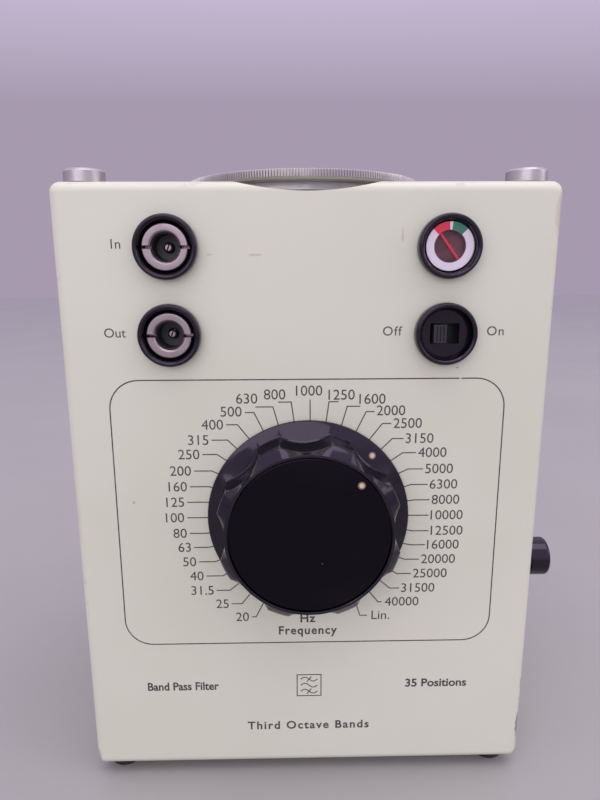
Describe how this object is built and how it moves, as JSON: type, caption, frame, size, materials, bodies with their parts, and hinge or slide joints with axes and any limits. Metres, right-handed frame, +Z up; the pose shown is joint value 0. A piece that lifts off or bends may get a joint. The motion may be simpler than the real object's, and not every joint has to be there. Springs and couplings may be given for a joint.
{
  "type": "sound level meter filter unit",
  "caption": "Painted box with a frequency selector knob, two sockets, battery gauge and slide switch, and a knurled ring that clamps it under a portable sound level meter.",
  "frame": {"origin": "centre of the case's flat underside", "axes": "+Z up towards the clamp ring, -Y out of the front panel, +X to the right as the front is read"},
  "size_m": [0.1294, 0.1028, 0.1652],
  "materials": {
    "paint": "pale grey-cream enamel, satin, lightly stippled",
    "knob_plastic": "black, polished",
    "bezel_plastic": "black, polished",
    "matte_black": "black, satin",
    "rubber": "black, matt",
    "turned_aluminium": "turned, satin",
    "plated_metal": "nickel plate, bright",
    "steel": "zinc plated",
    "brass": "turned",
    "lens_glass": "clear",
    "dial_white": "white with red and green sectors",
    "movement_maroon": "dark maroon",
    "needle_red": "red enamel",
    "phenolic": "brown laminate",
    "board": "green circuit board",
    "cell_jacket": "plain blue jacket"
  },
  "bodies": {
    "case": {"front_casing": "paint", "rear_cover": "paint", "rear_screw_1": "plated_metal", "rear_screw_2": "plated_metal", "rear_screw_3": "plated_metal", "rear_screw_4": "plated_metal", "top_post_1": "turned_aluminium", "top_post_2": "turned_aluminium", "top_post_3": "turned_aluminium", "top_post_4": "turned_aluminium", "foot_1": "rubber", "foot_2": "rubber", "foot_3": "rubber", "foot_4": "rubber", "ring_retainer": "turned_aluminium", "retainer_screw_1": "steel", "retainer_screw_2": "steel", "retainer_screw_3": "steel", "selector_bushing": "brass", "selector_nut": "brass", "detent_spring": "steel", "wafer_stack": "phenolic", "in_socket_bezel": "bezel_plastic", "in_socket_shell": "plated_metal", "in_socket_insulator": "matte_black", "in_socket_contact": "plated_metal", "out_socket_bezel": "bezel_plastic", "out_socket_shell": "plated_metal", "out_socket_insulator": "matte_black", "out_socket_contact": "plated_metal", "gauge_bezel": "bezel_plastic", "gauge_lens": "lens_glass", "gauge_dial": "dial_white", "gauge_movement": "movement_maroon", "switch_bezel": "bezel_plastic", "switch_body": "matte_black", "button_bushing": "matte_black", "button_spring": "steel", "chassis_frame": "steel", "filter_board_1": "board", "filter_board_2": "board", "filter_board_3": "board", "battery_holder": "matte_black", "contact_strip_top": "brass", "contact_strip_bottom": "brass", "cell_1": "cell_jacket", "cell_2": "cell_jacket", "cell_3": "cell_jacket", "cell_4": "cell_jacket"},
    "selector": {"knob_body": "knob_plastic", "knob_cap": "knob_plastic", "selector_shaft": "steel", "detent_wheel": "brass", "rotor_stack": "phenolic"},
    "ring": {"clamp_ring": "turned_aluminium"},
    "power_slider": {"switch_slider": "matte_black"},
    "needle": {"gauge_needle": "needle_red"},
    "check_button": {"button_cap": "bezel_plastic"},
    "battery_door": {"battery_cover": "paint"},
    "door_screw": {"battery_cover_screw": "plated_metal"}
  },
  "joints": [
    {"name": "selector_turn", "type": "hinge", "parent": "case", "child": "selector", "pos_m": [0, -0.05, 0.075], "axis": [0, -1, 0], "range_deg": [-108, 198], "deforming": ["detent_spring"]},
    {"name": "clamp_ring_turn", "type": "hinge", "parent": "case", "child": "ring", "pos_m": [0, 0, 0.1607], "axis": [0, 0, 1], "continuous": true},
    {"name": "power_switch_slide", "type": "slide", "parent": "case", "child": "power_slider", "axis": [1, 0, 0], "range_m": [0, 0.0028]},
    {"name": "gauge_needle_turn", "type": "hinge", "parent": "case", "child": "needle", "pos_m": [0.0332, -0.0459, 0.1426], "axis": [0, 1, 0], "range_deg": [0, 77], "stiffness_Nm_per_rad": 0.000002},
    {"name": "check_button_press", "type": "slide", "parent": "case", "child": "check_button", "axis": [-1, 0, 0], "range_m": [0, 0.0025], "stiffness_N_per_m": 400, "springref_m": -0.0025, "deforming": ["button_spring"]},
    {"name": "battery_cover_lift", "type": "slide", "parent": "case", "child": "battery_door", "axis": [0, 1, 0], "range_m": [0, 0.02]},
    {"name": "cover_screw_turn", "type": "hinge", "parent": "battery_door", "child": "door_screw", "pos_m": [0, 0.044, 0.078], "axis": [0, 1, 0], "range_deg": [0, 90]}
  ]
}
